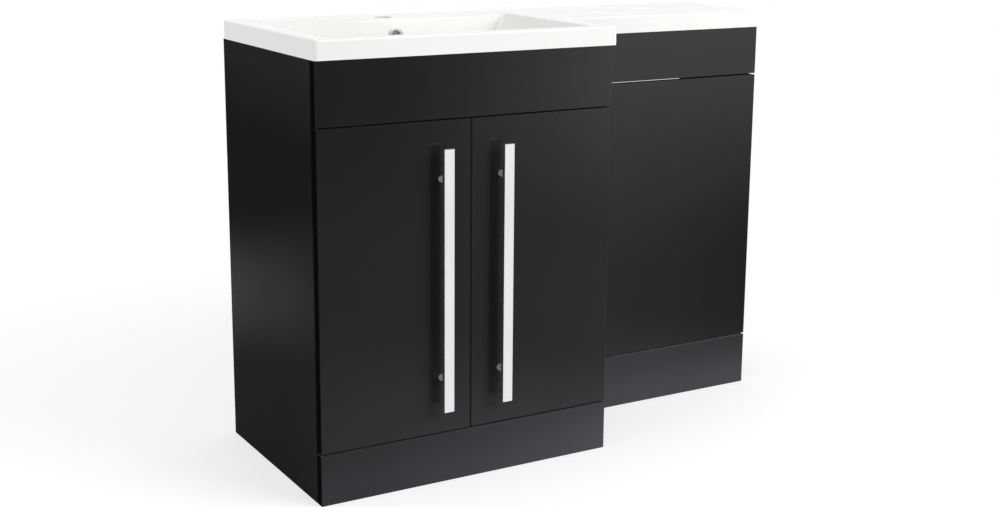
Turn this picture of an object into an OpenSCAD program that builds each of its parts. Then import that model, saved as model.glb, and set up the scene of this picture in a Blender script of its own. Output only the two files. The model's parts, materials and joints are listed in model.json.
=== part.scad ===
// Fitted bathroom run: a two-door vanity cupboard and a shallower toilet
// housing side by side, under one L-shaped basin top.
// Working coordinates: X = 0 at the vanity's left outer face, Y = 0 at the
// front plane of the doors, Z = 0 on the floor. Every module is then moved so
// that the origin lies under the middle of the whole unit's box.

/* [Cabinets] */
// Width of the vanity cupboard
vanity_w = 600; // [540:1:800]
// Width of the toilet housing
wc_w = 500; // [450:1:600]
// Height of the cabinets without the basin top
cabinet_h = 790; // [770:1:850]
// Depth from the vanity's front plane to the wall
unit_depth = 430; // [425:1:500]
// How far the toilet housing's front stands behind the vanity's front
wc_recess = 188; // [150:1:192]
// Thickness of the carcass boards
board_t = 18; // [16:0.5:19]
// Thickness of the doors and front panels
front_t = 18; // [17.5:0.5:20]
// Gap between the back of the fronts and the carcass edges
front_gap = 2; // [1.5:0.1:3]
// Gap between neighbouring fronts
joint_gap = 3; // [2:0.1:4]
// Radius of the front edges of the doors and front panels
front_edge_r = 1.2; // [0.8:0.1:2]

/* [Vanity fronts] */
// Height of the vanity plinth
plinth_h = 94; // [80:1:110]
// Height of the fixed fascia in front of the bowl
fascia_h = 113.5; // [105:0.5:130]
// How far the doors' outer edges stand inside the cabinet's sides
door_inset = 1; // [0.5:0.1:1.5]

/* [Toilet housing fronts] */
// Height of the toilet housing's plinth
wc_plinth_h = 109.5; // [95:0.5:120]
// Height of the toilet housing's lift-off fascia
wc_fascia_h = 99; // [90:1:110]
// Width of the gaps between the toilet housing's fronts
wc_joint_gap = 3.3; // [2:0.1:5]

/* [Inside the cabinets] */
// Depth of the flat rails
rail_d = 70; // [50:1:72]
// Height of the upright back rails
back_rail_h = 100; // [80:1:110]
// Height of the shelf's top face above the base board
shelf_rise = 280; // [200:1:330]
// Depth of the shelf
shelf_d = 330; // [250:1:335]
// Gap between the shelf's ends and the sides
shelf_side_gap = 1; // [0.5:0.1:2]
// Diameter of the shelf pins
shelf_pin_d = 5; // [4:0.5:6]
// Length of a shelf pin on each side of the board's face
shelf_pin_l = 8; // [6:0.5:10]
// Running clearance of pins and pegs in their holes
pin_clear = 0.05; // [0.02:0.01:0.1]

/* [Basin top] */
// Height of the basin top's edge
slab_h = 35; // [30:1:45]
// Thickness of the basin top's upper skin
slab_skin = 12; // [8:0.5:16]
// Thickness of the basin top's edges
slab_edge_t = 16; // [14:0.5:20]
// How far the basin top stands in front of the doors
slab_front_over = 2; // [0:0.5:10]
// How far the basin top stands over the vanity's right side
slab_side_over = 9; // [4:0.5:16]
// Radius of the basin top's corners in plan
slab_corner_r = 7; // [5:0.5:12]
// Radius of the basin top's upper edges and of the bowl's rim
slab_edge_r = 3; // [1.5:0.5:4]
// Width of the bowl's rim on the left
bowl_left_rim = 35; // [32:1:60]
// Width of the bowl's rim at the front
bowl_front_rim = 29; // [27:1:45]
// Width of the bowl's rim on the right, up to the vanity's right side
bowl_right_rim = 32; // [30:1:60]
// Depth of the bowl at its rim, from front to back
bowl_d = 318; // [290:1:325]
// Depth of the bowl below the rim
bowl_depth = 112; // [90:1:114]
// Thickness of the bowl's wall
bowl_wall = 9; // [7:0.5:10]
// How far the tap ledge bulges forward into the bowl
ledge_bulge = 40; // [20:1:50]
// Diameter of the tap hole
tap_hole_d = 35; // [32:0.5:38]
// Diameter of the waste hole
waste_hole_d = 45; // [42:0.5:50]
// Diameter of the overflow hole
overflow_d = 22; // [18:0.5:25]
// Outer diameter of the overflow ring
overflow_ring_d = 31; // [28:0.5:34]

/* [Handles] */
// Length of a handle bar
handle_l = 482; // [300:1:520]
// Width of a handle bar
handle_w = 20; // [14:0.5:24]
// Thickness of a handle bar
handle_t = 10; // [8:0.5:12]
// Radius of a handle bar's long edges
handle_edge_r = 1.5; // [0.5:0.1:3]
// How far a handle's face stands in front of the door
handle_reach = 32; // [28:0.5:40]
// Distance between a handle's two posts
handle_pitch = 367; // [200:1:400]
// Diameter of a handle post
handle_post_d = 12; // [8:0.5:13]
// Distance from a handle's middle to the edge of its door at the split
handle_from_split = 59.5; // [40:0.5:80]
// Height of the middle of the handles above the floor
handle_mid_z = 386.5; // [370:0.5:400]

/* [Hinges] */
// Diameter of the hinge cup's hole in the door
cup_d = 35; // [35:0.5:36]
// Depth of the hinge cup's hole in the door
cup_depth = 12.8; // [12.8:0.1:13]
// Distance from the hinges' middle to the door's top and bottom edges
hinge_inset = 100; // [80:1:130]
// Diameter of the hinge pins
hinge_pin_d = 2.5; // [2.4:0.1:2.6]
// Half the width of a hinge link
link_half_w = 2; // [1.9:0.05:2]
// Distance from the carcass edge to the mounting plate's screws
plate_setback = 37; // [37:1:40]
// Distance between a mounting plate's two screws
plate_pitch = 32; // [32:1:40]

/* [Fixings] */
// Diameter of the wall brackets' holes
bracket_hole_d = 7; // [5:0.5:8]
// Leg length of the wall brackets
bracket_leg = 32; // [28:1:40]
// Distance from the back rails' lower edge down to the wall brackets' middle
bracket_drop = 70; // [30:1:150]
// Diameter of the pegs that hold the lift-off fascia
peg_d = 8; // [6:0.5:10]
// Length of the pegs behind the lift-off fascia
peg_l = 20; // [16:1:24]

/* [Hidden] */
$fn = 48;

// Finishes
black_gloss = "#1b1a1e";
board_colour = "#242327";
white_resin = "#f4f4f2";
satin_metal = "#d6d6d4";
steel_grey = "#a9abad";
clear_rubber = "#cfd2d2";
white_plastic = "#e4e4e1";

// Overall layout
total_w = vanity_w + wc_w;
edge_y = front_t + front_gap;
wc_edge_y = wc_recess + edge_y;
top_z = cabinet_h + slab_h;
origin_x = total_w / 2;
origin_y = (unit_depth - handle_reach) / 2;
inner_w = vanity_w - 2 * board_t;
wc_inner_w = wc_w - 2 * board_t;
back_y = unit_depth - board_t;
tiny = 0.01;

// Heights of the fronts
door_z0 = plinth_h + joint_gap;
fascia_z0 = cabinet_h - fascia_h;
door_z1 = fascia_z0 - joint_gap;
door_w = vanity_w / 2 - door_inset - joint_gap / 2;
wc_panel_z0 = wc_plinth_h + wc_joint_gap;
wc_fascia_z0 = cabinet_h - wc_fascia_h;
wc_panel_z1 = wc_fascia_z0 - wc_joint_gap;
wc_front_x0 = vanity_w + joint_gap / 2;
wc_front_w = wc_w - joint_gap / 2;

// Heights of the inner boards
base_z1 = door_z0 + 13;
front_rail_z1 = fascia_z0 + 1.5;
front_rail_z0 = front_rail_z1 - board_t;
shelf_z1 = base_z1 + shelf_rise;
shelf_z0 = shelf_z1 - board_t;
shelf_setback = 40;
shelf_y0 = edge_y + shelf_setback;
wc_rail_drop = 20;
wc_middle_z1 = wc_panel_z1 - wc_rail_drop;
wc_base_z1 = wc_plinth_h;

// Fixing blocks behind the fixed fronts
block_w = 22;
block_d = 40;
block_h = 50;
block_rise = 40;
block_z0 = fascia_z0 + block_rise / 2;
plinth_block_z0 = 15;

// Shelf pin rows
pin_row_inset = 37;
pin_row_front = shelf_y0 + pin_row_inset;
pin_row_back = shelf_y0 + shelf_d - pin_row_inset;
pin_hole_step = 32;
pin_hole_depth = shelf_pin_l + 1;
shelf_pin_z = shelf_z0 - shelf_pin_d / 2;

// Handle places
left_handle_x = vanity_w / 2 - joint_gap / 2 - handle_from_split;
post_reach = handle_reach - handle_t;
handle_screw_d = 4;

// Hinge geometry for the left door, seen from above. Each pair is X from the
// side's outer face and Y from the door's front plane, with the door shut.
// The pivots on the arm are set from the corner of the carcass edge, those in
// the cup and the bends of the links from the corner of the door's back.
hinge_zs = [door_z0 + hinge_inset, door_z1 - hinge_inset];
cup_rim = 3;
cup_x = door_inset + cup_rim + cup_d / 2;
carcass_corner = [board_t, edge_y];
door_corner = [door_inset, front_t];
long_arm_offset = [17, 24];
long_bend_offset = [15.7, -6.4];
long_cup_offset = [8.5, -4.2];
short_arm_offset = [18, 2];
short_bend_offset = [24.9, -7.6];
short_cup_offset = [11.5, -8.4];
long_arm_pin = carcass_corner + long_arm_offset;
long_crank = door_corner + long_bend_offset;
long_cup_pin = door_corner + long_cup_offset;
short_arm_pin = carcass_corner + short_arm_offset;
short_crank = door_corner + short_bend_offset;
short_cup_pin = door_corner + short_cup_offset;
hinge_pin_r = hinge_pin_d / 2;
link_gap = 0.3;
link_waist = 0.15;
link_z = 6;
cheek_z = 6.3;
cheek_t = 1.2;
arm_reach = 21.2;
arm_out_x = board_t + arm_reach;
arm_base_t = 1.4;
arm_y0 = edge_y - 0.6;
arm_len = 72;
cup_floor_t = 0.8;
cup_wall_t = 0.8;
cup_flange_t = 0.8;
cup_screw_pitch = 48;
open_pin_slot_r = 1.75;
open_pin_shift = [0.58, 0.41];
plate_y = edge_y + plate_setback;
plate_foot_t = 2;
plate_foot_w = 14;
plate_foot_l = 38;
plate_wing_end = 8;
spine_w = 12;
spine_h = 14;
spine_l = 32;
plate_screw_r = 2.45;
plate_screw_depth = 11;

// Basin bowl, in plan
bowl_x0 = bowl_left_rim;
bowl_x1 = vanity_w - bowl_right_rim;
bowl_w = bowl_x1 - bowl_x0;
bowl_mid_x = (bowl_x0 + bowl_x1) / 2;
bowl_y0 = bowl_front_rim - slab_front_over;
bowl_y1 = bowl_y0 + bowl_d;
bowl_floor_z = top_z - bowl_depth;
bowl_rim_r = 16;
bowl_foot_r = 45;
bowl_end_slope = 62;
bowl_front_slope = 34;
bowl_back_slope = 26;
waste_y = bowl_y0 + 0.52 * bowl_d;
waste_dish_r = 32.5;
waste_dish_t = 3;
waste_boss_r = 36;
waste_boss_h = 14;
ledge_half = bowl_w / 2;
ledge_r = (ledge_half * ledge_half + ledge_bulge * ledge_bulge) / (2 * ledge_bulge);
ledge_y = bowl_y1 - ledge_bulge;
ledge_lean = 12;
ledge_root = 40;
ledge_z0 = bowl_floor_z - ledge_root;
rim_step = slab_edge_r * (1 - cos(45));
tap_from_ledge = 54;
tap_y = ledge_y + tap_from_ledge;
tap_boss_r = tap_hole_d / 2 + 12;
overflow_drop = 30;
overflow_z = top_z - overflow_drop;
overflow_duct_r = 8;
overflow_duct_y = ledge_y + 18;
duct_wall = 4;
duct_foot_r = 3.5;
duct_foot_z = bowl_floor_z - 8;
rib_t = 8;

// Wall brackets and connecting bolts
bracket_t = 2;
bracket_w = 30;
bracket_z = cabinet_h - back_rail_h - bracket_drop;
connector_r = 4;
connector_head_r = 8;
connector_head_t = 2;
connector_inset = 60;
connector_low_z = 200;
connector_drop = 190;
connector_ys = [wc_edge_y + connector_inset, unit_depth - connector_inset];
connector_zs = [connector_low_z, cabinet_h - connector_drop];
connector_spots = [for (z = connector_zs) for (y = connector_ys) [y, z]];

// Cam fittings
cam_r = 7.5;
cam_face_t = 1;
cam_from_side = 34;
cam_from_front = 40;
cam_from_back = 60;

// Lift-off fascia of the toilet housing
socket_w = 22;
socket_d = 26;
socket_h = 24;
peg_rise = 24;
peg_drop = 16;
peg_z = [wc_fascia_z0 + peg_rise, cabinet_h - board_t - peg_drop];

// ---------------------------------------------------------------- helpers

// Moves the working coordinates so that the origin is under the unit's middle.
module placed() {
    translate([-origin_x, -origin_y, 0])
        children();
}

// A board with its low corner at p.
module board(p, size) {
    translate(p)
        cube(size);
}

// The right-hand door and its fittings mirror the left-hand ones.
module mirrored() {
    translate([vanity_w, 0, 0])
        mirror([1, 0, 0])
            children();
}

// Repeats a shape at the height of both hinges.
module at_hinges() {
    for (z = hinge_zs)
        translate([0, 0, z])
            children();
}

// A round bar along Y, starting at p.
module rod_y(p, r, l) {
    translate(p)
        rotate([-90, 0, 0])
            cylinder(r = r, h = l);
}

// A round bar along X, starting at p.
module rod_x(p, r, l) {
    translate(p)
        rotate([0, 90, 0])
            cylinder(r = r, h = l);
}

// A flat outline with rounded corners, made of true arcs.
module rounded_outline(x0, y0, x1, y1, r) {
    translate([x0 + r, y0])
        square([x1 - x0 - 2 * r, y1 - y0]);
    translate([x0, y0 + r])
        square([x1 - x0, y1 - y0 - 2 * r]);
    for (x = [x0 + r, x1 - r])
        for (y = [y0 + r, y1 - r])
            translate([x, y])
                circle(r = r);
}

// A strip from 0 to t whose two corners at 0 are rounded, for panel edges.
module soft_strip(l, t) {
    translate([front_edge_r, 0])
        square([l - 2 * front_edge_r, t]);
    translate([0, front_edge_r])
        square([l, t - front_edge_r]);
    for (x = [front_edge_r, l - front_edge_r])
        translate([x, front_edge_r])
            circle(r = front_edge_r);
}

// A door or front panel at p, with its four front edges rounded.
module front_board(p, w, h) {
    translate(p)
        intersection() {
            linear_extrude(h)
                soft_strip(w, front_t);
            rotate([90, 0, 90])
                linear_extrude(w)
                    mirror([1, -1])
                        soft_strip(h, front_t);
        }
}

// A straight stretch of a link between two points.
module link_stretch(a, b, half_w) {
    d = b - a;
    translate(a)
        rotate(atan2(d[1], d[0]))
            translate([0, -half_w])
                square([norm(d), 2 * half_w]);
}

// The flat outline of a cranked link: arm eye, bend and cup eye.
module link_outline(arm_pin, crank, cup_pin) {
    link_stretch(arm_pin, crank, link_half_w - link_waist);
    link_stretch(crank, cup_pin, link_half_w - link_waist);
    translate(arm_pin)
        circle(r = link_half_w + 0.8);
    translate(crank)
        circle(r = link_half_w);
    translate(cup_pin)
        circle(r = link_half_w);
}

// ------------------------------------------------------------- basin top

// Outline of the hollow under the top: the deep vanity part and the shelf.
module slab_hollow_outline() {
    y1 = unit_depth - slab_edge_t;
    rounded_outline(slab_edge_t, slab_edge_t - slab_front_over,
                    vanity_w + slab_side_over - slab_edge_t, y1, 1);
    rounded_outline(vanity_w / 2, wc_recess - slab_front_over + slab_edge_t,
                    total_w - slab_edge_t, y1, 1);
}

// A block of the top from (x0, y0) to (x1, the wall), rounded over at the top.
module slab_block(x0, y0, x1) {
    hull() {
        translate([0, 0, cabinet_h])
            linear_extrude(slab_h - slab_edge_r)
                rounded_outline(x0, y0, x1, unit_depth, slab_corner_r);
        for (a = [30, 60, 90]) {
            inset = slab_edge_r * (1 - cos(a));
            translate([0, 0, top_z - slab_edge_r])
                linear_extrude(slab_edge_r * sin(a))
                    rounded_outline(x0 + inset, y0 + inset, x1 - inset, unit_depth, slab_corner_r - inset);
        }
    }
}

// One level of the bowl, grown by wall and narrowed by the slopes at depth t.
module bowl_level(z, t, wall, r, h) {
    translate([0, 0, z])
        linear_extrude(h)
            rounded_outline(bowl_x0 + t * bowl_end_slope - wall, bowl_y0 + t * bowl_front_slope - wall,
                            bowl_x1 - t * bowl_end_slope + wall, bowl_y1 - t * bowl_back_slope + wall, r);
}

// The hollow of the bowl, from its rim down to the dished floor.
module bowl_hollow() {
    difference() {
        union() {
            hull() {
                bowl_level(top_z - slab_edge_r, 0, 0, bowl_rim_r, slab_edge_r + 1, $fn = 32);
                bowl_level(bowl_floor_z + 8, 0.95, 0, bowl_foot_r, 1, $fn = 32);
                bowl_level(bowl_floor_z + 4, 1.12, 0, bowl_foot_r, 1, $fn = 32);
                translate([bowl_mid_x, waste_y, bowl_floor_z])
                    cylinder(r = waste_dish_r + 6, h = 1, $fn = 32);
            }
            // the rounded rim, in two slopes
            hull() {
                bowl_level(top_z - slab_edge_r, 0, 0, bowl_rim_r, tiny, $fn = 32);
                bowl_level(top_z - rim_step, 0, rim_step, bowl_rim_r + rim_step, tiny, $fn = 32);
            }
            hull() {
                bowl_level(top_z - rim_step, 0, rim_step, bowl_rim_r + rim_step, tiny, $fn = 32);
                bowl_level(top_z, 0, slab_edge_r, bowl_rim_r + slab_edge_r, tiny, $fn = 32);
            }
        }
        tap_ledge(0);
    }
}

// The curved ledge that carries the tap, with a wall that leans forward and a
// rounded upper edge. A wall above 0 gives the same form further back.
module tap_ledge(wall) {
    r = ledge_r - wall;
    h = top_z - ledge_z0;
    translate([bowl_mid_x, ledge_y + ledge_r, ledge_z0])
        rotate_extrude($fn = 360)
            polygon([[0, 0], [r + ledge_lean, 0], [r, h - slab_edge_r], [r - rim_step, h - rim_step],
                     [r - slab_edge_r, h + tiny], [0, h + tiny]]);
}

// The bowl's outer shell under the top. Behind the tap ledge it keeps the
// bowl's wall thickness, so that the tap's nut has room under the top.
module bowl_shell() {
    difference() {
        hull() {
            bowl_level(top_z - slab_skin, 0.1, bowl_wall, bowl_rim_r, 1, $fn = 32);
            bowl_level(bowl_floor_z + 2, 0.97, bowl_wall, bowl_foot_r, 1, $fn = 32);
            translate([bowl_mid_x, waste_y, bowl_floor_z - bowl_wall])
                linear_extrude(1)
                    square([0.62 * bowl_w, 0.45 * bowl_d], center = true);
        }
        tap_ledge(bowl_wall);
    }
}

// The channel of the overflow: back from the bowl, down, and into the waste.
module overflow_bore() {
    rod_y([bowl_mid_x, ledge_y - ledge_lean - 4, overflow_z], overflow_d / 2,
          overflow_duct_y - ledge_y + ledge_lean + 4);
    translate([bowl_mid_x, overflow_duct_y, duct_foot_z])
        cylinder(r = overflow_duct_r, h = overflow_z - duct_foot_z);
    rod_y([bowl_mid_x, waste_y, duct_foot_z], duct_foot_r, overflow_duct_y - waste_y);
}

// The cast walls round that channel, and the web that joins them to the bowl.
module overflow_duct() {
    rod_y([bowl_mid_x, ledge_y - ledge_lean - 4, overflow_z], overflow_d / 2 + duct_wall,
          overflow_duct_y - ledge_y + ledge_lean + 4);
    translate([bowl_mid_x, overflow_duct_y, duct_foot_z - duct_foot_r - duct_wall])
        cylinder(r = overflow_duct_r + duct_wall,
                 h = top_z - slab_skin + 1 - duct_foot_z + duct_foot_r + duct_wall);
    rod_y([bowl_mid_x, waste_y, duct_foot_z], duct_foot_r + duct_wall, overflow_duct_y - waste_y);
    board([bowl_mid_x - overflow_duct_r, ledge_y - ledge_lean, duct_foot_z],
          [2 * overflow_duct_r, overflow_duct_y - ledge_y + ledge_lean, top_z - slab_skin + 1 - duct_foot_z]);
}

module basin_top() {
    placed() color(white_resin)
    difference() {
        union() {
            difference() {
                union() {
                    slab_block(0, -slab_front_over, vanity_w + slab_side_over);
                    slab_block(vanity_w / 2, wc_recess - slab_front_over, total_w);
                }
                translate([0, 0, cabinet_h - 1])
                    linear_extrude(slab_h - slab_skin + 1)
                        slab_hollow_outline();
            }
            // ribs under the shelf over the toilet housing
            for (f = [0.35, 0.68])
                board([vanity_w + f * wc_w, wc_recess - slab_front_over + 2, cabinet_h + 4],
                      [rib_t, unit_depth - wc_recess - 4 + slab_front_over, slab_h - slab_skin - 3]);
            // rib between the bowl and the shelf
            board([vanity_w - board_t - rib_t - 1, wc_recess, cabinet_h + 4],
                  [rib_t, unit_depth - wc_recess - 4, slab_h - slab_skin - 3]);
            bowl_shell();
            overflow_duct();
            translate([bowl_mid_x, waste_y, bowl_floor_z - waste_boss_h])
                cylinder(r = waste_boss_r, h = waste_boss_h + 2);
            // boss under the tap hole
            translate([bowl_mid_x, tap_y, top_z - slab_skin - 6])
                cylinder(r = tap_boss_r, h = 8);
        }
        bowl_hollow();
        translate([bowl_mid_x, waste_y, bowl_floor_z - waste_dish_t])
            cylinder(r = waste_dish_r, h = waste_dish_t + 1);
        translate([bowl_mid_x, waste_y, bowl_floor_z - waste_boss_h - 1])
            cylinder(r = waste_hole_d / 2, h = waste_boss_h + 4);
        translate([bowl_mid_x, tap_y, cabinet_h])
            cylinder(r = tap_hole_d / 2, h = slab_h + 1);
        overflow_bore();
    }
}

// Trim ring that lines the overflow hole; its flange lies on the bowl's wall.
module overflow_ring() {
    ledge_h = top_z - slab_edge_r - ledge_z0;
    lean = atan(ledge_lean / ledge_h);
    drop = top_z - slab_edge_r - overflow_z;
    wall_y = ledge_y - ledge_lean * drop / ledge_h;
    placed() color(satin_metal)
    translate([bowl_mid_x, wall_y, overflow_z])
        rotate([90 - lean, 0, 0])
            difference() {
                union() {
                    translate([0, 0, 0.15])
                        cylinder(r = overflow_ring_d / 2, h = 2);
                    translate([0, 0, -7])
                        cylinder(r = overflow_d / 2 - 0.6, h = 8);
                }
                translate([0, 0, -8])
                    cylinder(r = overflow_d / 2 - 2, h = 12);
            }
}

// --------------------------------------------------------- vanity carcass

// Rows of holes for the shelf pins, drilled into one inner face.
module pin_rows(x) {
    for (y = [pin_row_front, pin_row_back])
        for (i = [-2 : 2])
            rod_x([x, y, shelf_pin_z + i * pin_hole_step], shelf_pin_d / 2 + pin_clear, pin_hole_depth);
}

// Pilot holes for the mounting plates' screws, drilled into the left side.
module plate_pilots() {
    at_hinges()
        for (s = [-1, 1])
            rod_x([board_t - plate_screw_depth - 1, plate_y, s * plate_pitch / 2],
                  plate_screw_r + pin_clear, plate_screw_depth + 2);
}

// The vanity's left side before any bolt holes.
module vanity_side() {
    difference() {
        board([0, edge_y, 0], [board_t, unit_depth - edge_y, cabinet_h]);
        pin_rows(board_t - pin_hole_depth);
        plate_pilots();
    }
}

module vanity_side_left() {
    placed() color(black_gloss)
        vanity_side();
}

module vanity_side_right() {
    placed() color(black_gloss)
    difference() {
        mirrored()
            vanity_side();
        connector_bores();
    }
}

module vanity_base() {
    placed() color(board_colour)
        board([board_t, edge_y, base_z1 - board_t], [inner_w, back_y - edge_y, board_t]);
}

module vanity_shelf() {
    placed() color(board_colour)
        board([board_t + shelf_side_gap, shelf_y0, shelf_z0],
              [inner_w - 2 * shelf_side_gap, shelf_d, board_t]);
}

// A shelf pin with its collar, pushed into the left side.
module shelf_pin(y) {
    rod_x([board_t - shelf_pin_l, y, shelf_pin_z], shelf_pin_d / 2, 2 * shelf_pin_l);
    rod_x([board_t, y, shelf_pin_z], shelf_pin_d / 2, 1.5);
}

module shelf_pins() {
    placed() color(steel_grey)
    for (y = [pin_row_front, pin_row_back]) {
        shelf_pin(y);
        mirrored()
            shelf_pin(y);
    }
}

module vanity_front_rail() {
    placed() color(board_colour)
        board([board_t, edge_y, front_rail_z0], [inner_w, rail_d, board_t]);
}

module vanity_top_back_rail() {
    placed() color(board_colour)
        board([board_t, back_y, cabinet_h - back_rail_h], [inner_w, board_t, back_rail_h]);
}

module vanity_low_back_rail() {
    placed() color(board_colour)
        board([board_t, back_y, base_z1 - board_t], [inner_w, board_t, back_rail_h]);
}

module vanity_fascia() {
    placed() color(black_gloss)
        front_board([0, 0, fascia_z0], vanity_w, fascia_h);
}

module vanity_plinth() {
    placed() color(black_gloss)
        front_board([0, 0, 0], vanity_w, plinth_h);
}

// One block in the corner of a side and a fixed front, with its screw hole.
module fixing_block(x, y, z) {
    difference() {
        board([x, y, z], [block_w, block_d, block_h]);
        rod_y([x + block_w / 2, y - 1, z + block_h / 2], 2.2, block_d + 2);
    }
}

module front_fixing_blocks() {
    placed() color(board_colour)
    for (z = [block_z0, plinth_block_z0]) {
        fixing_block(board_t, front_t, z);
        fixing_block(vanity_w - board_t - block_w, front_t, z);
    }
    placed() color(board_colour)
    for (x = [vanity_w + board_t, total_w - board_t - block_w])
        for (z = [plinth_block_z0, wc_panel_z0 + block_rise, wc_middle_z1 - board_t - block_h - block_rise])
            fixing_block(x, wc_recess + front_t, z);
}

// Round cam fittings that pull the base and the rails onto the sides.
module cam_fittings() {
    placed() color(steel_grey)
    for (x = [board_t + cam_from_side, vanity_w - board_t - cam_from_side]) {
        for (y = [edge_y + cam_from_front, back_y - cam_from_back])
            translate([x, y, base_z1])
                cylinder(r = cam_r, h = cam_face_t);
        translate([x, edge_y + rail_d / 2, front_rail_z0 - cam_face_t])
            cylinder(r = cam_r, h = cam_face_t);
    }
}

// --------------------------------------------------------- toilet housing

// Holes for the bolts that join the two cabinets.
module connector_bores() {
    for (p = connector_spots)
        rod_x([vanity_w - board_t - 1, p[0], p[1]], connector_r + pin_clear, 2 * board_t + 2);
}

module wc_side_left() {
    placed() color(black_gloss)
    difference() {
        board([vanity_w, wc_edge_y, 0], [board_t, unit_depth - wc_edge_y, cabinet_h]);
        connector_bores();
    }
}

module wc_side_right() {
    placed() color(black_gloss)
        board([total_w - board_t, wc_edge_y, 0], [board_t, unit_depth - wc_edge_y, cabinet_h]);
}

// A flat rail between the toilet housing's sides, with its top face at z1.
module wc_rail(z1) {
    board([vanity_w + board_t, wc_edge_y, z1 - board_t], [wc_inner_w, rail_d, board_t]);
}

module wc_top_rail() {
    placed() color(board_colour)
        wc_rail(cabinet_h);
}

// The middle rail lies lower than the gap between the fronts, which is open
// behind, so that light from the open back shows through it.
module wc_middle_rail() {
    placed() color(board_colour)
        wc_rail(wc_middle_z1);
}

module wc_base_rail() {
    placed() color(board_colour)
        wc_rail(wc_base_z1);
}

module wc_back_rail() {
    placed() color(board_colour)
        board([vanity_w + board_t, back_y, cabinet_h - back_rail_h], [wc_inner_w, board_t, back_rail_h]);
}

module wc_front_panel() {
    placed() color(black_gloss)
        front_board([wc_front_x0, wc_recess, wc_panel_z0], wc_front_w, wc_panel_z1 - wc_panel_z0);
}

module wc_plinth() {
    placed() color(black_gloss)
        front_board([wc_front_x0, wc_recess, 0], wc_front_w, wc_plinth_h);
}

// The four places where the lift-off fascia is held.
module at_pegs() {
    for (x = [vanity_w + board_t + socket_w / 2, total_w - board_t - socket_w / 2])
        for (z = peg_z)
            translate([x, wc_recess + front_t, z])
                children();
}

// Sockets on the inside of the housing's sides that grip the pegs.
module peg_sockets() {
    placed() color(white_plastic)
    at_pegs()
        difference() {
            translate([-socket_w / 2, front_gap, -socket_h / 2])
                cube([socket_w, socket_d, socket_h]);
            rod_y([0, 0, 0], peg_d / 2 + pin_clear, peg_l + 3);
        }
}

module wc_fascia() {
    placed() color(black_gloss)
        front_board([wc_front_x0, wc_recess, wc_fascia_z0], wc_front_w, wc_fascia_h);
}

module fascia_pegs() {
    placed() color(white_plastic)
    at_pegs() {
        rod_y([0, 0, 0], peg_d / 2 + 3, 1.2);
        rod_y([0, 0, 0], peg_d / 2, peg_l);
    }
}

// ------------------------------------------------------------- fixings

// Bolts through both neighbouring sides, with a flat head at each end.
module cabinet_connectors() {
    placed() color(steel_grey)
    for (p = connector_spots) {
        rod_x([vanity_w - board_t, p[0], p[1]], connector_r, 2 * board_t);
        rod_x([vanity_w - board_t - connector_head_t, p[0], p[1]], connector_head_r, connector_head_t);
        rod_x([vanity_w + board_t, p[0], p[1]], connector_head_r, connector_head_t);
    }
}

// An angle bracket in a back corner: one leg on the side, one on the wall.
module wall_bracket(x, dir) {
    translate([x, unit_depth, bracket_z])
        scale([dir, 1, 1])
            difference() {
                union() {
                    translate([0, -bracket_t, -bracket_w / 2])
                        cube([bracket_leg, bracket_t, bracket_w]);
                    translate([0, -bracket_leg, -bracket_w / 2])
                        cube([bracket_t, bracket_leg, bracket_w]);
                }
                rod_y([bracket_leg / 2 + 2, -bracket_t - 1, 0], bracket_hole_d / 2, bracket_t + 2);
                rod_x([-1, -bracket_leg / 2 - 2, 0], 2.2, bracket_t + 2);
            }
}

module wall_brackets() {
    placed() color(steel_grey) {
        wall_bracket(board_t, 1);
        wall_bracket(vanity_w - board_t, -1);
        wall_bracket(vanity_w + board_t, 1);
        wall_bracket(total_w - board_t, -1);
    }
}

// ------------------------------------------------------- concealed hinges

// Mounting plate for one hinge: winged foot and the spine that holds the arm.
module mounting_plate() {
    difference() {
        union() {
            board([board_t, plate_y - plate_foot_w / 2, -plate_pitch / 2 - plate_wing_end],
                  [plate_foot_t, plate_foot_w, plate_pitch + 2 * plate_wing_end]);
            board([board_t, plate_y - plate_foot_w / 2, -spine_w / 2], [plate_foot_t, plate_foot_l, spine_w]);
            board([board_t, plate_y - 4, -spine_w / 2], [spine_h, spine_l, spine_w]);
        }
        for (s = [-1, 1])
            rod_x([board_t - 1, plate_y, s * plate_pitch / 2], plate_screw_r + pin_clear, plate_foot_t + 2);
    }
}

module hinge_plates() {
    placed() color(steel_grey)
    at_hinges() {
        mounting_plate();
        mirrored()
            mounting_plate();
    }
}

// One screw of a mounting plate, with its flat head on the foot.
module plate_screw() {
    rod_x([board_t - plate_screw_depth, plate_y, 0], plate_screw_r, plate_screw_depth + plate_foot_t);
    rod_x([board_t + plate_foot_t, plate_y, 0], 4.6, 2.2);
}

module plate_screws() {
    placed() color(steel_grey)
    at_hinges()
        for (s = [-1, 1])
            translate([0, 0, s * plate_pitch / 2]) {
                plate_screw();
                mirrored()
                    plate_screw();
            }
}

// Side view of an arm's cheek: deep at the back, slim at the nose.
module cheek_outline() {
    polygon([
        [arm_out_x + tiny, arm_y0],
        [short_arm_pin[0] - 2, arm_y0],
        [short_arm_pin[0] - 3.5, arm_y0 + 1.5],
        [short_arm_pin[0] - 4, long_arm_pin[1] + 2],
        [board_t + 8, long_arm_pin[1] + 14],
        [board_t + 4, long_arm_pin[1] + 18],
        [board_t + 4, arm_y0 + arm_len - 3],
        [board_t + 7, arm_y0 + arm_len],
        [arm_out_x + tiny, arm_y0 + arm_len],
    ]);
}

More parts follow.
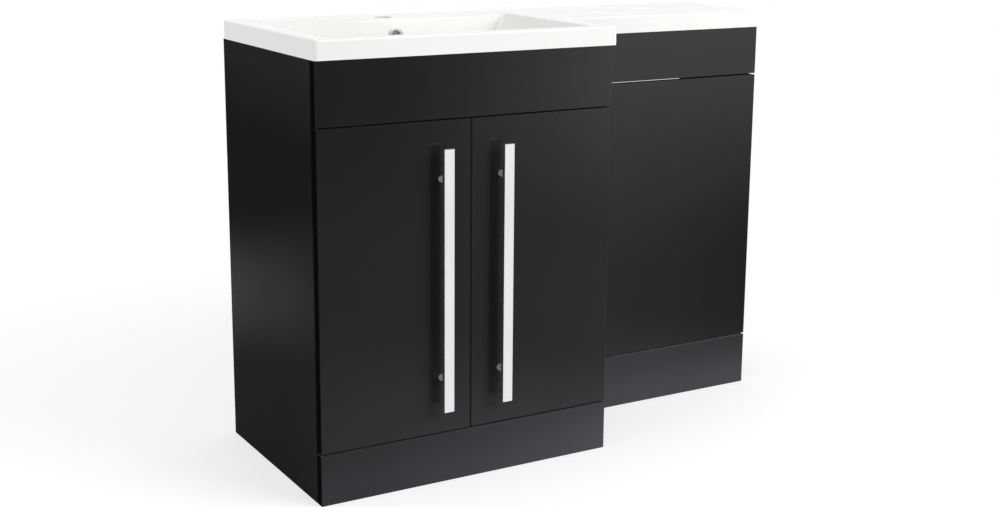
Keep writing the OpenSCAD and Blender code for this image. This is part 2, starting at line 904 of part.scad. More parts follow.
// The channel-shaped arm of one hinge, with the bores for its two pins.
module hinge_arm() {
    difference() {
        union() {
            for (z = [-cheek_z - cheek_t, cheek_z])
                translate([0, 0, z])
                    linear_extrude(cheek_t)
                        cheek_outline();
            board([arm_out_x, arm_y0, -cheek_z - cheek_t], [arm_base_t, arm_len, 2 * (cheek_z + cheek_t)]);
            // pad that rests on the plate's spine
            board([board_t + spine_h, plate_y + 2, -spine_w / 2],
                  [arm_out_x - board_t - spine_h + tiny, spine_l - 10, spine_w]);
        }
        for (p = [long_arm_pin, short_arm_pin])
            translate([p[0], p[1], -cheek_z - cheek_t - 1])
                cylinder(r = hinge_pin_r + pin_clear, h = 2 * (cheek_z + cheek_t) + 2);
        // clamping screw's recess
        rod_x([arm_out_x - 4, plate_y + 13, 0], 3.4, 8);
    }
}

module hinge_arms() {
    placed() color(satin_metal)
    at_hinges() {
        hinge_arm();
        mirrored()
            hinge_arm();
    }
}

// The arm's pins: a full one for the long link, a stub for the short link.
module arm_pin_pair() {
    translate([long_arm_pin[0], long_arm_pin[1], -cheek_z - cheek_t])
        cylinder(r = hinge_pin_r, h = 2 * (cheek_z + cheek_t));
    translate([short_arm_pin[0], short_arm_pin[1], link_gap])
        cylinder(r = hinge_pin_r, h = cheek_z + cheek_t - link_gap);
}

module arm_pins() {
    placed() color(steel_grey)
    at_hinges() {
        arm_pin_pair();
        mirrored()
            arm_pin_pair();
    }
}

// The long link lies in the lower half of the hinge.
module long_link() {
    translate([0, 0, -link_z])
        difference() {
            linear_extrude(link_z - link_gap)
                link_outline(long_arm_pin, long_crank, long_cup_pin);
            for (p = [long_arm_pin, long_cup_pin])
                translate([p[0], p[1], -1])
                    cylinder(r = hinge_pin_r + pin_clear, h = link_z + 2);
        }
}

// The short link lies in the upper half. It carries its own pin, which moves
// in the wide hole of the cup.
module short_link() {
    translate([0, 0, link_gap])
        difference() {
            linear_extrude(link_z - link_gap)
                link_outline(short_arm_pin, short_crank, short_cup_pin);
            translate([short_arm_pin[0], short_arm_pin[1], -1])
                cylinder(r = hinge_pin_r + pin_clear, h = link_z + 2);
        }
    translate([short_cup_pin[0], short_cup_pin[1], link_z - 1])
        cylinder(r = hinge_pin_r, h = cheek_z + 3 - link_z);
}

// ------------------------------------------------------------------ doors

// The cup's rounded body and its screw flange, with the pocket for the links.
module hinge_cup() {
    floor_y = front_t - cup_depth + 0.1;
    pocket_r = cup_d / 2 - cup_wall_t;
    difference() {
        union() {
            rod_y([cup_x, floor_y, 0], cup_d / 2 - pin_clear, front_t + cup_flange_t - floor_y);
            translate([0, front_t + cup_flange_t, 0])
                rotate([90, 0, 0])
                    linear_extrude(cup_flange_t)
                        rounded_outline(cup_x - 12, -cup_screw_pitch / 2 - 6, cup_x + 14,
                                        cup_screw_pitch / 2 + 6, 5);
        }
        intersection() {
            rod_y([cup_x, floor_y + cup_floor_t, 0], pocket_r, cup_depth + 5);
            board([cup_x - pocket_r, floor_y, -cheek_z], [2 * pocket_r, cup_depth + 8, 2 * cheek_z]);
        }
        translate([long_cup_pin[0], long_cup_pin[1], -cheek_z - 3])
            cylinder(r = hinge_pin_r + pin_clear, h = 4);
        translate([short_cup_pin[0] + open_pin_shift[0], short_cup_pin[1] + open_pin_shift[1], cheek_z - 1])
            cylinder(r = hinge_pin_r + open_pin_slot_r, h = 5);
        for (s = [-1, 1])
            rod_y([cup_x + 6, front_t - 1, s * cup_screw_pitch / 2], 1.8, 4);
    }
}

// Stub pin that joins the long link to the cup.
module cup_pin() {
    translate([long_cup_pin[0], long_cup_pin[1], -cheek_z - 2.9])
        cylinder(r = hinge_pin_r, h = cheek_z + 2.9 - link_gap);
}

// One countersunk screw of a cup's flange.
module cup_screw() {
    rod_y([cup_x + 6, front_t - 11, 0], 1.7, 11 + cup_flange_t);
    rod_y([cup_x + 6, front_t + cup_flange_t, 0], 3.4, 1.2);
}

// The left door: cup holes, pilot holes for their screws and handle holes.
module door_panel() {
    difference() {
        front_board([door_inset, 0, door_z0], door_w, door_z1 - door_z0);
        at_hinges() {
            rod_y([cup_x, front_t - cup_depth, 0], cup_d / 2, cup_depth + 1);
            for (s = [-1, 1])
                rod_y([cup_x + 6, front_t - 12, s * cup_screw_pitch / 2], 1.8, 13);
        }
        for (s = [-1, 1])
            rod_y([left_handle_x, -1, handle_mid_z + s * handle_pitch / 2],
                  handle_screw_d / 2 + 0.3, front_t + 2);
    }
}

module cup_screw_set() {
    at_hinges()
        for (s = [-1, 1])
            translate([0, 0, s * cup_screw_pitch / 2])
                cup_screw();
}

// Soft buffers on the back of a door, at the corners next to the split.
module buffer_pair() {
    for (z = [door_z0 + 7, door_z1 - 7])
        rod_y([left_handle_x + handle_from_split - 12, front_t, z], 4.5, front_gap - 0.3);
}

// ---------------------------------------------------------------- handles

module handle_bar() {
    difference() {
        translate([0, 0, handle_mid_z - handle_l / 2])
            linear_extrude(handle_l)
                rounded_outline(left_handle_x - handle_w / 2, -handle_reach,
                                left_handle_x + handle_w / 2, -post_reach, handle_edge_r);
        for (s = [-1, 1])
            rod_y([left_handle_x, -post_reach - 6, handle_mid_z + s * handle_pitch / 2],
                  handle_screw_d / 2 + pin_clear, 7);
    }
}

module handle_post_pair() {
    for (s = [-1, 1])
        difference() {
            rod_y([left_handle_x, -post_reach, handle_mid_z + s * handle_pitch / 2],
                  handle_post_d / 2, post_reach);
            rod_y([left_handle_x, -post_reach - 1, handle_mid_z + s * handle_pitch / 2],
                  handle_screw_d / 2 + pin_clear, post_reach + 2);
        }
}

// Machine screws from inside the door, through the posts, into the bar.
module handle_screw_pair() {
    for (s = [-1, 1])
        translate([0, 0, handle_mid_z + s * handle_pitch / 2]) {
            rod_y([left_handle_x, -post_reach - 5, 0], handle_screw_d / 2, front_t + post_reach + 5);
            rod_y([left_handle_x, front_t, 0], handle_screw_d, 2.4);
        }
}

// ------------------------------------------------------------ left leaf

module left_door() {
    placed() color(black_gloss)
        door_panel();
}

module left_hinge_cups() {
    placed() color(satin_metal)
    at_hinges()
        hinge_cup();
}

module left_cup_screws() {
    placed() color(steel_grey)
        cup_screw_set();
}

module left_cup_pins() {
    placed() color(steel_grey)
    at_hinges()
        cup_pin();
}

module left_buffers() {
    placed() color(clear_rubber)
        buffer_pair();
}

module left_handle_bar() {
    placed() color(satin_metal)
        handle_bar();
}

module left_handle_posts() {
    placed() color(steel_grey)
        handle_post_pair();
}

module left_handle_screws() {
    placed() color(steel_grey)
        handle_screw_pair();
}

module left_long_links() {
    placed() color(satin_metal)
    at_hinges()
        long_link();
}

module left_short_links() {
    placed() color(satin_metal)
    at_hinges()
        short_link();
}

// ----------------------------------------------------------- right leaf

module right_door() {
    placed() color(black_gloss)
    mirrored()
        door_panel();
}

module right_hinge_cups() {
    placed() color(satin_metal)
    mirrored()
        at_hinges()
            hinge_cup();
}

module right_cup_screws() {
    placed() color(steel_grey)
    mirrored()
        cup_screw_set();
}

module right_cup_pins() {
    placed() color(steel_grey)
    mirrored()
        at_hinges()
            cup_pin();
}

module right_buffers() {
    placed() color(clear_rubber)
    mirrored()
        buffer_pair();
}

module right_handle_bar() {
    placed() color(satin_metal)
    mirrored()
        handle_bar();
}

module right_handle_posts() {
    placed() color(steel_grey)
    mirrored()
        handle_post_pair();
}

module right_handle_screws() {
    placed() color(steel_grey)
    mirrored()
        handle_screw_pair();
}

module right_long_links() {
    placed() color(satin_metal)
    mirrored()
        at_hinges()
            long_link();
}

module right_short_links() {
    placed() color(satin_metal)
    mirrored()
        at_hinges()
            short_link();
}

basin_top();
overflow_ring();
vanity_side_left();
vanity_side_right();
vanity_base();
vanity_shelf();
shelf_pins();
vanity_front_rail();
vanity_top_back_rail();
vanity_low_back_rail();
vanity_fascia();
vanity_plinth();
front_fixing_blocks();
cam_fittings();
wc_side_left();
wc_side_right();
wc_top_rail();
wc_middle_rail();
wc_base_rail();
wc_back_rail();
wc_front_panel();
wc_plinth();
peg_sockets();
wc_fascia();
fascia_pegs();
cabinet_connectors();
wall_brackets();
hinge_plates();
plate_screws();
hinge_arms();
arm_pins();
left_door();
left_hinge_cups();
left_cup_screws();
left_cup_pins();
left_buffers();
left_handle_bar();
left_handle_posts();
left_handle_screws();
left_long_links();
left_short_links();
right_door();
right_hinge_cups();
right_cup_screws();
right_cup_pins();
right_buffers();
right_handle_bar();
right_handle_posts();
right_handle_screws();
right_long_links();
right_short_links();
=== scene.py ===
"""Finish, camera, light and floor of a toilet and basin combination unit.

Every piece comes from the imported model, and gets its materials and softened
edges here. Lengths are in metres.
"""
import json
import math

import bpy
from mathutils import Matrix, Vector

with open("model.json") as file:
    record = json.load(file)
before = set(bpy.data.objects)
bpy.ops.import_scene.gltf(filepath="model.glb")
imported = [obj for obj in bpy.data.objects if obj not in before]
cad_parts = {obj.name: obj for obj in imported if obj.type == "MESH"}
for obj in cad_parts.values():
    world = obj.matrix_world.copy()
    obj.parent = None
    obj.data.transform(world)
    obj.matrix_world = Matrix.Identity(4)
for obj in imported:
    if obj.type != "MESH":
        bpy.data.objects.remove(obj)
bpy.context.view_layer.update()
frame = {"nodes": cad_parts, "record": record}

NODES = frame["nodes"]
SLOT_OF = {p["node"]: p["material_slot"] for p in frame["record"]["subparts"]}
scene = bpy.context.scene


# ------------------------------------------------------------------ camera
# Fitted to the cabinet's corners: focal length and principal point in pixels
# of the frame, turn and tilt in degrees, and the camera's place.
FRAME_W, FRAME_H = 1000.0, 507.0
FOCAL, MID_U, MID_V = 1497.6, 500.0, 213.5
YAW, PITCH, ROLL = math.radians(30.407), math.radians(12.219), math.radians(0.456)
EYE = Vector((-1.5370, -2.4939, 1.0712))
SENSOR_MM = 36.0
NEAREST, FARTHEST = 0.05, 60.0


def make_camera():
    data = bpy.data.cameras.new("camera")
    cam = bpy.data.objects.new("camera", data)
    scene.collection.objects.link(cam)
    ahead = Vector((math.sin(YAW), math.cos(YAW), 0.0))
    right = Vector((math.cos(YAW), -math.sin(YAW), 0.0))
    up = Vector((0.0, 0.0, 1.0))
    look = ahead * math.cos(PITCH) - up * math.sin(PITCH)
    top = up * math.cos(PITCH) + ahead * math.sin(PITCH)
    side = right * math.cos(ROLL) + top * math.sin(ROLL)
    crown = top * math.cos(ROLL) - right * math.sin(ROLL)
    turn = Matrix((side, crown, -look)).transposed().to_4x4()
    turn.translation = EYE
    cam.matrix_world = turn
    data.sensor_width = SENSOR_MM
    data.lens = FOCAL / FRAME_W * SENSOR_MM
    data.shift_x = (FRAME_W / 2 - MID_U) / FRAME_W
    data.shift_y = (MID_V - FRAME_H / 2) / FRAME_W
    data.clip_start, data.clip_end = NEAREST, FARTHEST
    scene.camera = cam


# --------------------------------------------------------------- materials
class Net:
    """Short calls for building one material's nodes."""

    def __init__(self, name):
        self.mat = bpy.data.materials.new(name)
        self.mat.use_nodes = True
        self.tree = self.mat.node_tree
        self.tree.nodes.clear()
        self.out = self.add("ShaderNodeOutputMaterial")
        self.bsdf = self.add("ShaderNodeBsdfPrincipled")
        self.link(self.bsdf, "BSDF", self.out, "Surface")
        self.coord = self.add("ShaderNodeTexCoord")

    def add(self, kind, **values):
        """A node, with values for its inputs or else for its own settings."""
        n = self.tree.nodes.new(kind)
        for key, value in values.items():
            if key in n.inputs:
                n.inputs[key].default_value = value
            else:
                setattr(n, key, value)
        return n

    def link(self, a, out, b, into):
        self.tree.links.new(a.outputs[out], b.inputs[into])

    def set(self, **values):
        """Constants of the shader itself."""
        for key, value in values.items():
            self.bsdf.inputs[key.replace("_", " ")].default_value = value

    def split(self):
        """The place on the unit, as X, Y and Z."""
        place = self.add("ShaderNodeSeparateXYZ")
        self.link(self.coord, "Object", place, "Vector")
        return place

    def noise(self, scale, stretch=(1, 1, 1), detail=3.0, rough=0.5):
        place = self.add("ShaderNodeMapping")
        place.inputs["Scale"].default_value = stretch
        self.link(self.coord, "Object", place, "Vector")
        n = self.add("ShaderNodeTexNoise", Scale=scale, Detail=detail, Roughness=rough)
        self.link(place, "Vector", n, "Vector")
        return n

    def ramp(self, source, out, low, high, lo_at=0.35, hi_at=0.65):
        """A colour from low to high as the source goes from lo_at to hi_at."""
        r = self.add("ShaderNodeValToRGB")
        for stop, at, colour in zip(r.color_ramp.elements, (lo_at, hi_at), (low, high)):
            stop.position = at
            stop.color = (*colour, 1.0)
        self.link(source, out, r, "Fac")
        return r

    def spread(self, source, out, low, high, lo_at=0.3, hi_at=0.7, kind="LINEAR"):
        """A number from low to high as the source goes from lo_at to hi_at."""
        r = self.add("ShaderNodeMapRange", interpolation_type=kind)
        r.inputs["From Min"].default_value = lo_at
        r.inputs["From Max"].default_value = hi_at
        r.inputs["To Min"].default_value = low
        r.inputs["To Max"].default_value = high
        self.link(source, out, r, "Value")
        return r

    def bump(self, source, strength, distance, under=None):
        b = self.add("ShaderNodeBump", Strength=strength, Distance=distance)
        self.link(source, "Fac", b, "Height")
        if under is not None:
            self.link(under, "Normal", b, "Normal")
        return b

    def math(self, kind, a, b, a_out=0):
        """a with b, which is a node or a number."""
        m = self.add("ShaderNodeMath", operation=kind)
        self.link(a, a_out, m, 0)
        if isinstance(b, float):
            m.inputs[1].default_value = b
        else:
            self.link(b, 0, m, 1)
        return m

    def times(self, a, b):
        return self.math("MULTIPLY", a, b)

    def plus(self, a, b, a_out=0):
        return self.math("ADD", a, b, a_out)

    def colour(self, source, out="Color"):
        self.link(source, out, self.bsdf, "Base Color")

    def rough(self, source, low, high):
        """Roughness from low to high over a noise."""
        gloss = self.spread(source, "Fac", low, high)
        self.link(gloss, "Result", self.bsdf, "Roughness")

    def relief(self, bump):
        self.link(bump, "Normal", self.bsdf, "Normal")


SMOOTH = "SMOOTHSTEP"
BLACK = (0.0, 0.0, 0.0)
BLACK_SPAN = 0.1  # the foils' colour ramps run over this much of their summed tone


def foil_surface(n, rough_lo, rough_hi):
    """Roughness haze, slight waves and the foil's fine orange peel."""
    n.rough(n.noise(11.0, detail=4.0), rough_lo, rough_hi)
    wave = n.noise(26.0, detail=1.0)
    peel = n.noise(420.0, detail=2.0)
    n.relief(n.bump(peel, 0.03, 0.0002, n.bump(wave, 0.05, 0.002)))


# Reach of each slow change of the fronts' painted light and shade over the unit.
VANITY_X = (-0.55, 0.05)
HOUSING_X = (0.0, 0.55)
SLANT_X = (-0.45, 0.55)
SINK_Z = (0.40, 0.80)
# Heights over which the painted bluish reflection of the floor fades out
FLOOR_REFLECTION_Z = (0.04, 0.34)
PAINTED_LIGHT_DIP = -0.0060  # the painted light's dip at the left before the painted upper sheen
# Tint of the painted bluish reflection of the floor
FLOOR_REFLECTION_TINT = (0.99, 0.955, 1.11, 1.0)
FOIL_TONE = (0.101, 0.100, 0.099)


def front_foil(name, start, across, upper, climb, foot, window, slant=0.0, fade=0.0):
    """Gloss black foil, with painted light and shade in its colour. Its tone is
    darkest at the left and, by painted shade, low down at the far right; a painted
    sheen rises to the upper right, and painted light and a painted bluish
    reflection of the floor lie down at the floor.

    start: tone at the left; across: painted light added towards the vanity's right side
    upper: painted sheen added at the top, over the heights and in the way that climb says
    foot: painted light added at the floor: everywhere, to the right, over the housing
    window: heights that the foot fades over, which slant lowers to the right
    fade: painted shade taken away over the housing, low down
    """
    n = Net(name)
    n.set(Metallic=0.0, IOR=1.5, Specular_IOR_Level=0.08)
    place = n.split()
    along = n.spread(place, "X", 0.0, 1.0, *VANITY_X)
    beyond = n.spread(place, "X", 0.0, 1.0, *HOUSING_X)
    height = n.plus(place, n.spread(place, "X", 0.0, slant, *SLANT_X), "Z")
    high = n.spread(place, "Z", 0.0, 1.0, *climb)
    low = n.spread(height, 0, 1.0, 0.0, *window, SMOOTH)
    below = n.spread(place, "Z", 1.0, 0.0, *SINK_Z)
    near_floor = n.spread(place, "Z", 1.0, 0.0, *FLOOR_REFLECTION_Z, SMOOTH)
    # painted sheen, rising towards the upper right
    rise = n.plus(n.times(n.times(along, along), upper), PAINTED_LIGHT_DIP)
    # painted light from the floor, low down
    lower = n.plus(n.times(along, foot[1]), foot[0])
    lower = n.plus(lower, n.times(beyond, foot[2]))
    total = n.plus(n.times(along, across), n.times(rise, high))
    total = n.plus(total, n.times(lower, low))
    # painted shade, low down over the housing
    total = n.math("SUBTRACT", total, n.times(n.times(beyond, fade), below))
    mottle = n.spread(n.noise(3.0, detail=3.0), "Fac", 0.92, 1.08)
    total = n.times(n.plus(total, start), mottle)
    painted_light_tone = n.ramp(total, 0, BLACK, FOIL_TONE, 0.0, BLACK_SPAN)
    # painted bluish reflection of the floor, low down on the fronts
    floor_reflection = n.add("ShaderNodeMix", data_type="RGBA", blend_type="MULTIPLY")
    factor, plain, tint = 0, 6, 7  # the colour mix's sockets
    floor_reflection.inputs[tint].default_value = FLOOR_REFLECTION_TINT
    n.link(near_floor, 0, floor_reflection, factor)
    n.link(painted_light_tone, "Color", floor_reflection, plain)
    n.colour(floor_reflection, 2)
    foil_surface(n, 0.18, 0.23)
    return n.mat


SIDE_Y = (-0.215, 0.215)  # front and back of the sides


def side_foil():
    """Matt black foil of the sides. Its colour holds a painted reflection, a wide
    lighter band that rises and weakens towards the front, and painted light at the top and
    low down."""
    n = Net("matt_black_side")
    n.set(Metallic=0.0, IOR=1.5, Specular_IOR_Level=0.0012)
    place = n.split()
    height = n.plus(place, n.spread(place, "Y", -0.047, 0.047, *SIDE_Y), "Z")
    # painted reflection: a wide lighter band over these heights, stronger towards the back
    rise = n.spread(height, 0, 0.0, 1.0, 0.51, 0.36, SMOOTH)
    fall = n.spread(height, 0, 0.0, 1.0, 0.195, 0.335, SMOOTH)
    strength = n.spread(place, "Y", 0.0135, 0.040, *SIDE_Y)
    band = n.times(n.times(rise, fall), strength)
    # painted light at the top and low down
    crown = n.spread(place, "Z", 0.0, 0.0098, 0.63, 0.77)
    foot = n.spread(place, "Z", 0.0090, 0.0, 0.20, 0.42)
    total = n.plus(n.plus(n.plus(band, crown), 0.0110), foot)
    mottle = n.spread(n.noise(3.0, detail=3.0), "Fac", 0.90, 1.10)
    n.colour(n.ramp(n.times(total, mottle), 0, BLACK, (0.1, 0.1, 0.098), 0.0, BLACK_SPAN))
    foil_surface(n, 0.46, 0.56)
    return n.mat


def edge_band(name, low_colour, high_colour):
    """Matt edge strip glued round the boards, or a board's raw edge."""
    n = Net(name)
    n.set(Metallic=0.0, Specular_IOR_Level=0.0)
    n.colour(n.ramp(n.noise(40.0, detail=3.0), "Fac", low_colour, high_colour))
    grain = n.noise(700.0, detail=2.0)
    n.rough(grain, 0.6, 0.75)
    n.relief(n.bump(grain, 0.1, 0.0001))
    return n.mat


def white_resin():
    """Cast resin under a white gel coat: smooth, glossy and slightly wavy."""
    n = Net("white_gel_coat")
    n.set(Metallic=0.0, IOR=1.5, Specular_IOR_Level=0.5)
    n.set(Coat_Weight=0.25, Coat_Roughness=0.04)
    cloud = n.noise(5.0, detail=3.0)
    n.colour(n.ramp(cloud, "Fac", (0.872, 0.873, 0.846), (0.904, 0.904, 0.878)))
    n.rough(n.noise(14.0, detail=3.0), 0.14, 0.20)
    wave = n.noise(16.0, detail=1.0)
    pores = n.noise(900.0, detail=1.0)
    n.relief(n.bump(pores, 0.02, 0.0001, n.bump(wave, 0.05, 0.001)))
    return n.mat


def dark_board():
    """Matt black melamine with its fine pressed grain."""
    n = Net("dark_melamine")
    n.set(Metallic=0.0, Specular_IOR_Level=0.30)
    cloud = n.noise(7.0, detail=4.0)
    n.colour(n.ramp(cloud, "Fac", (0.020, 0.0195, 0.022), (0.030, 0.029, 0.032)))
    grain = n.noise(260.0, stretch=(0.2, 1.0, 1.0), detail=5.0, rough=0.6)
    n.rough(grain, 0.45, 0.58)
    n.relief(n.bump(grain, 0.14, 0.0001))
    return n.mat


def shaded(colour, share):
    return tuple(share * c for c in colour)


def brushed(name, colour, stretch, rough, metal=1.0):
    """Satin metal, brushed along the axis that stretch makes long."""
    n = Net(name)
    n.set(Metallic=metal)
    lines = n.noise(240.0, stretch=stretch, detail=6.0, rough=0.65)
    n.colour(n.ramp(n.noise(9.0, detail=2.0), "Fac", shaded(colour, 0.96), colour))
    n.rough(lines, *rough)
    n.relief(n.bump(lines, 0.3, 0.00006))
    return n.mat


def plated(name, colour, rough):
    """Pressed and plated metal with faint rolling marks."""
    n = Net(name)
    n.set(Metallic=1.0)
    cloud = n.noise(60.0, detail=3.0)
    n.colour(n.ramp(cloud, "Fac", shaded(colour, 0.9), colour))
    n.rough(cloud, *rough)
    marks = n.noise(500.0, stretch=(1.0, 0.3, 1.0), detail=2.0)
    n.relief(n.bump(marks, 0.12, 0.0001))
    return n.mat


def moulded(name, low_colour, high_colour, rough, see_through=0.0):
    """Moulded plastic or soft rubber with a fine spark-eroded surface."""
    n = Net(name)
    n.set(Metallic=0.0, Transmission_Weight=see_through)
    n.colour(n.ramp(n.noise(30.0, detail=2.0), "Fac", low_colour, high_colour))
    grain = n.noise(1200.0, detail=2.0)
    n.rough(grain, *rough)
    n.relief(n.bump(grain, 0.15, 0.00008))
    return n.mat


LOOKS = {
    "white_resin": white_resin(),
    "dark_board": dark_board(),
    "satin_handle": brushed(
        "satin_handle_metal", (0.77, 0.77, 0.766),
        stretch=(1.0, 1.0, 0.02), rough=(0.26, 0.38)),
    "handle_post_metal": brushed(
        "handle_post_metal", (0.62, 0.62, 0.62),
        stretch=(1.0, 0.06, 1.0), rough=(0.40, 0.50), metal=0.4),
    "bright_trim": plated(
        "bright_trim_plating", (0.82, 0.82, 0.83), rough=(0.05, 0.10)),
    "clear_buffer": moulded(
        "clear_buffer_rubber", (0.72, 0.73, 0.73), (0.80, 0.81, 0.81),
        rough=(0.25, 0.35), see_through=0.7),
    "white_plastic": moulded(
        "white_moulded_plastic", (0.74, 0.74, 0.72), (0.80, 0.80, 0.78),
        rough=(0.35, 0.45)),
    "hinge_metal": plated(
        "nickel_plated_steel", (0.64, 0.63, 0.61), rough=(0.20, 0.32)),
    "fixing_steel": plated(
        "zinc_plated_steel", (0.55, 0.55, 0.55), rough=(0.30, 0.45)),
}

# Heights and way of the fronts' painted upper sheen, and heights of their painted light from
# the floor.
STEEP = (0.42, 0.76, SMOOTH)
EVEN = (0.30, 0.70, "LINEAR")
PANEL_FOOT = (0.04, 0.36)
PLINTH_FOOT = (0.0, 0.11)

# The numbers below set the painted light and shade in the fronts' and plinths' colour.
FRONT = front_foil(
    "gloss_black_front", start=0.0135, across=0.0058, upper=0.0270, climb=STEEP,
    foot=(0.0120, 0.0200, 0.0), window=PANEL_FOOT, slant=0.26)
WC_FRONT = front_foil(
    "gloss_black_housing_front", start=0.0140, across=0.0098, upper=0.0230, climb=EVEN,
    foot=(0.0180, 0.0160, 0.0150), window=PANEL_FOOT, slant=0.20, fade=0.0170)
PLINTH = front_foil(
    "gloss_black_plinth", start=0.0245, across=0.0225, upper=0.0, climb=STEEP,
    foot=(0.0130, 0.0130, 0.0), window=PLINTH_FOOT)
WC_PLINTH = front_foil(
    "gloss_black_housing_plinth", start=0.0340, across=0.0240, upper=0.0, climb=STEEP,
    foot=(0.0080, 0.0120, 0.0175), window=PLINTH_FOOT, fade=0.0340)
SIDE = side_foil()
OUTER_EDGE = edge_band("edge_band_outer", (0.0036, 0.0034, 0.0036), (0.0050, 0.0047, 0.0050))
# The inner edge strip is the edge band with painted light: lighter than the outer strip, so
# that the shade in the gaps between boards shows less.
INNER_EDGE_PAINTED_LIGHT = edge_band("edge_band_inner_painted_light", (0.072, 0.070, 0.072), (0.082, 0.080, 0.082))
# A board's edge without a strip, its colour lightened as painted light against the shade in
# the housing's lower gap.
RAW_EDGE_PAINTED_LIGHT = edge_band("raw_board_edge_painted_light", (0.17, 0.167, 0.165), (0.21, 0.206, 0.203))


def black_foil(name):
    """The foil of a black board's faces."""
    if "side" in name:
        return SIDE
    if "plinth" in name:
        return WC_PLINTH if name.startswith("wc_") else PLINTH
    return WC_FRONT if name.startswith("wc_") else FRONT


# ------------------------------------------------------------ CAD node finish
# Width of the softened edge on each kind of node.
EDGE = {
    "white_resin": 0.0006,
    "black_gloss": 0.0004,
    "dark_board": 0.0004,
    "satin_handle": 0.0004,
    "handle_post_metal": 0.0003,
    "bright_trim": 0.0003,
    "clear_buffer": 0.0004,
    "white_plastic": 0.0006,
    "hinge_metal": 0.00025,
    "fixing_steel": 0.0003,
}
EDGE_ANGLE = math.radians(38)
WELD_REACH = 0.000002
EVEN_WEIGHT = 60

# Where the two doors meet, and how near to it an edge faces the other door.
SPLIT_X, SPLIT_REACH = -0.25, 0.02
# Boards whose edge towards each other carries no strip, with the way it faces.
BUTTED = {"wc_plinth": 1, "wc_front_panel": -1}
# Places of the looks on a front board.
FACE_AT, OUTER_AT, INNER_AT, RAW_AT = range(4)
SQUARE_ON = 0.9  # a normal's share along an axis that it points along
EDGEWISE = 0.3  # the most that an edge's normal points forwards or backwards


def edge_look(name, poly):
    """Which edge strip a front board's polygon shows, or its face."""
    if abs(poly.normal.y) >= EDGEWISE:
        return FACE_AT
    if name in BUTTED and poly.normal.z * BUTTED[name] > SQUARE_ON:
        return RAW_AT
    upright = abs(poly.normal.x) > SQUARE_ON
    between_doors = abs(poly.center.x - SPLIT_X) <= SPLIT_REACH
    return OUTER_AT if upright and not between_doors else INNER_AT


def looks_of(name, slot):
    if slot != "black_gloss":
        return [LOOKS[slot]]
    foil = black_foil(name)
    if foil == SIDE:
        return [foil]
    looks = [foil, OUTER_EDGE, INNER_EDGE_PAINTED_LIGHT]
    if name in BUTTED:
        looks.append(RAW_EDGE_PAINTED_LIGHT)
    return looks


def finish_node(name, obj):
    slot = SLOT_OF[name]
    looks = looks_of(name, slot)
    obj.data.materials.clear()
    for look in looks:
        obj.data.materials.append(look)
    for poly in obj.data.polygons:
        poly.use_smooth = True
        poly.material_index = edge_look(name, poly) if len(looks) > 1 else FACE_AT
    weld = obj.modifiers.new("weld", "WELD")
    weld.merge_threshold = WELD_REACH
    bevel = obj.modifiers.new("edge", "BEVEL")
    bevel.width = EDGE[slot]
    bevel.segments = 2
    bevel.limit_method = "ANGLE"
    bevel.angle_limit = EDGE_ANGLE
    bevel.use_clamp_overlap = True
    bevel.harden_normals = False
    even = obj.modifiers.new("even", "WEIGHTED_NORMAL")
    even.keep_sharp = False
    even.weight = EVEN_WEIGHT


for node_name, node_obj in NODES.items():
    finish_node(node_name, node_obj)


# ------------------------------------------------------------------- setting
WORLD_FILL, FILL_COLOUR = 0.50, (0.98, 0.99, 1.0, 1)
FLOOR_RADIUS, FLOOR_SIDES = 14.0, 96
FLOOR_GREY, FLOOR_LIFT = 0.50, 0.60  # the near floor, which shows the shadow
FLOOR_UNSEEN = 0.86  # the floor that only lights the unit
FADE_SHAPE, FADE_END = (0.50, 0.62, 1.0), 0.55  # of the near floor into white


def shader_mix(tree, share, first, second):
    """first where share is 0, second where it is 1."""
    mix = tree.nodes.new("ShaderNodeMixShader")
    tree.links.new(share, mix.inputs["Fac"])
    tree.links.new(first, mix.inputs[1])
    tree.links.new(second, mix.inputs[2])
    return mix.outputs[0]


def ray_mix(tree, shown, hidden):
    """shown for camera, glossy and transmitted rays, hidden for the others."""
    path = tree.nodes.new("ShaderNodeLightPath")
    total = path.outputs["Is Camera Ray"]
    for kind in ("Is Glossy Ray", "Is Transmission Ray"):
        most = tree.nodes.new("ShaderNodeMath")
        most.operation = "MAXIMUM"
        tree.links.new(total, most.inputs[0])
        tree.links.new(path.outputs[kind], most.inputs[1])
        total = most.outputs[0]
    return shader_mix(tree, total, hidden, shown)


def glow(tree, kind, strength, colour=(1, 1, 1, 1)):
    """An emission or background of one colour."""
    node = tree.nodes.new(kind)
    node.inputs["Color"].default_value = colour
    node.inputs["Strength"].default_value = strength
    return node.outputs[0]


def matt(tree, value):
    """A plain grey surface."""
    node = tree.nodes.new("ShaderNodeBsdfDiffuse")
    node.inputs["Color"].default_value = (value, value, value, 1)
    return node.outputs[0]


def make_world():
    world = bpy.data.worlds.new("studio")
    scene.world = world
    world.use_nodes = True
    tree = world.node_tree
    tree.nodes.clear()
    out = tree.nodes.new("ShaderNodeOutputWorld")
    white = glow(tree, "ShaderNodeBackground", 1.0)
    fill = glow(tree, "ShaderNodeBackground", WORLD_FILL, FILL_COLOUR)
    tree.links.new(ray_mix(tree, white, fill), out.inputs["Surface"])


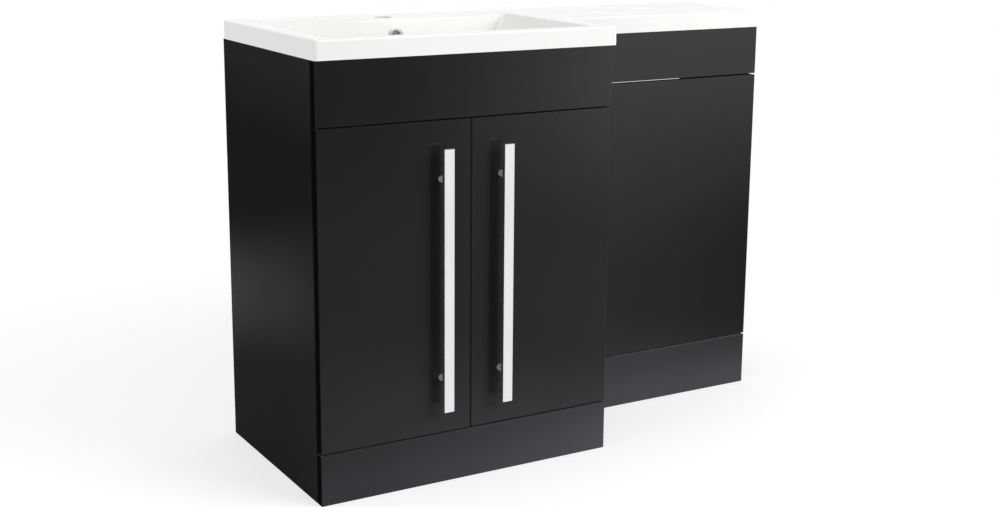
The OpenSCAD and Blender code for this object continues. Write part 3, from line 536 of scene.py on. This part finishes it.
def make_floor():
    """A pale floor that keeps the soft shadow near the unit and fades to white."""
    bpy.ops.mesh.primitive_circle_add(
        vertices=FLOOR_SIDES, radius=FLOOR_RADIUS, fill_type="NGON", location=(0, 0, 0))
    floor = bpy.context.object
    floor.name = "floor"
    mat = bpy.data.materials.new("pale_floor")
    mat.use_nodes = True
    tree = mat.node_tree
    tree.nodes.clear()
    out = tree.nodes.new("ShaderNodeOutputMaterial")
    lit = tree.nodes.new("ShaderNodeAddShader")
    tree.links.new(matt(tree, FLOOR_GREY), lit.inputs[0])
    tree.links.new(glow(tree, "ShaderNodeEmission", FLOOR_LIFT), lit.inputs[1])
    coord = tree.nodes.new("ShaderNodeTexCoord")
    squash = tree.nodes.new("ShaderNodeMapping")
    squash.inputs["Scale"].default_value = FADE_SHAPE
    tree.links.new(coord.outputs["Object"], squash.inputs["Vector"])
    ball = tree.nodes.new("ShaderNodeTexGradient")
    ball.gradient_type = "SPHERICAL"
    tree.links.new(squash.outputs[0], ball.inputs["Vector"])
    near = tree.nodes.new("ShaderNodeMapRange")
    near.interpolation_type = SMOOTH
    near.inputs["From Max"].default_value = FADE_END
    tree.links.new(ball.outputs["Fac"], near.inputs["Value"])
    white = glow(tree, "ShaderNodeEmission", 1.0)
    blend = shader_mix(tree, near.outputs[0], white, lit.outputs[0])
    mix = ray_mix(tree, blend, matt(tree, FLOOR_UNSEEN))
    tree.links.new(mix, out.inputs["Surface"])
    floor.data.materials.append(mat)


# Name, place, what it points at, size and watts of each lamp.
LAMPS = (
    ("key", (1.9, -2.9, 2.2), (0.2, 0.0, 0.5), (2.4, 1.8), 82),
    ("top", (-0.3, 0.2, 3.2), (-0.2, 0.1, 0.0), (2.2, 2.0), 16),
    ("side", (-1.8, -0.26, 1.2), (-0.55, -0.1, 0.6), (0.9, 1.2), 5.0),
)


def panel_light(name, place, target, size, power):
    data = bpy.data.lights.new(name, "AREA")
    data.shape = "RECTANGLE"
    data.size, data.size_y = size
    data.energy = power
    obj = bpy.data.objects.new(name, data)
    scene.collection.objects.link(obj)
    obj.location = place
    aim = Vector(target) - Vector(place)
    obj.rotation_euler = aim.to_track_quat("-Z", "Y").to_euler()


make_camera()
make_world()
make_floor()
for lamp in LAMPS:
    panel_light(*lamp)

scene.view_settings.view_transform = "Standard"
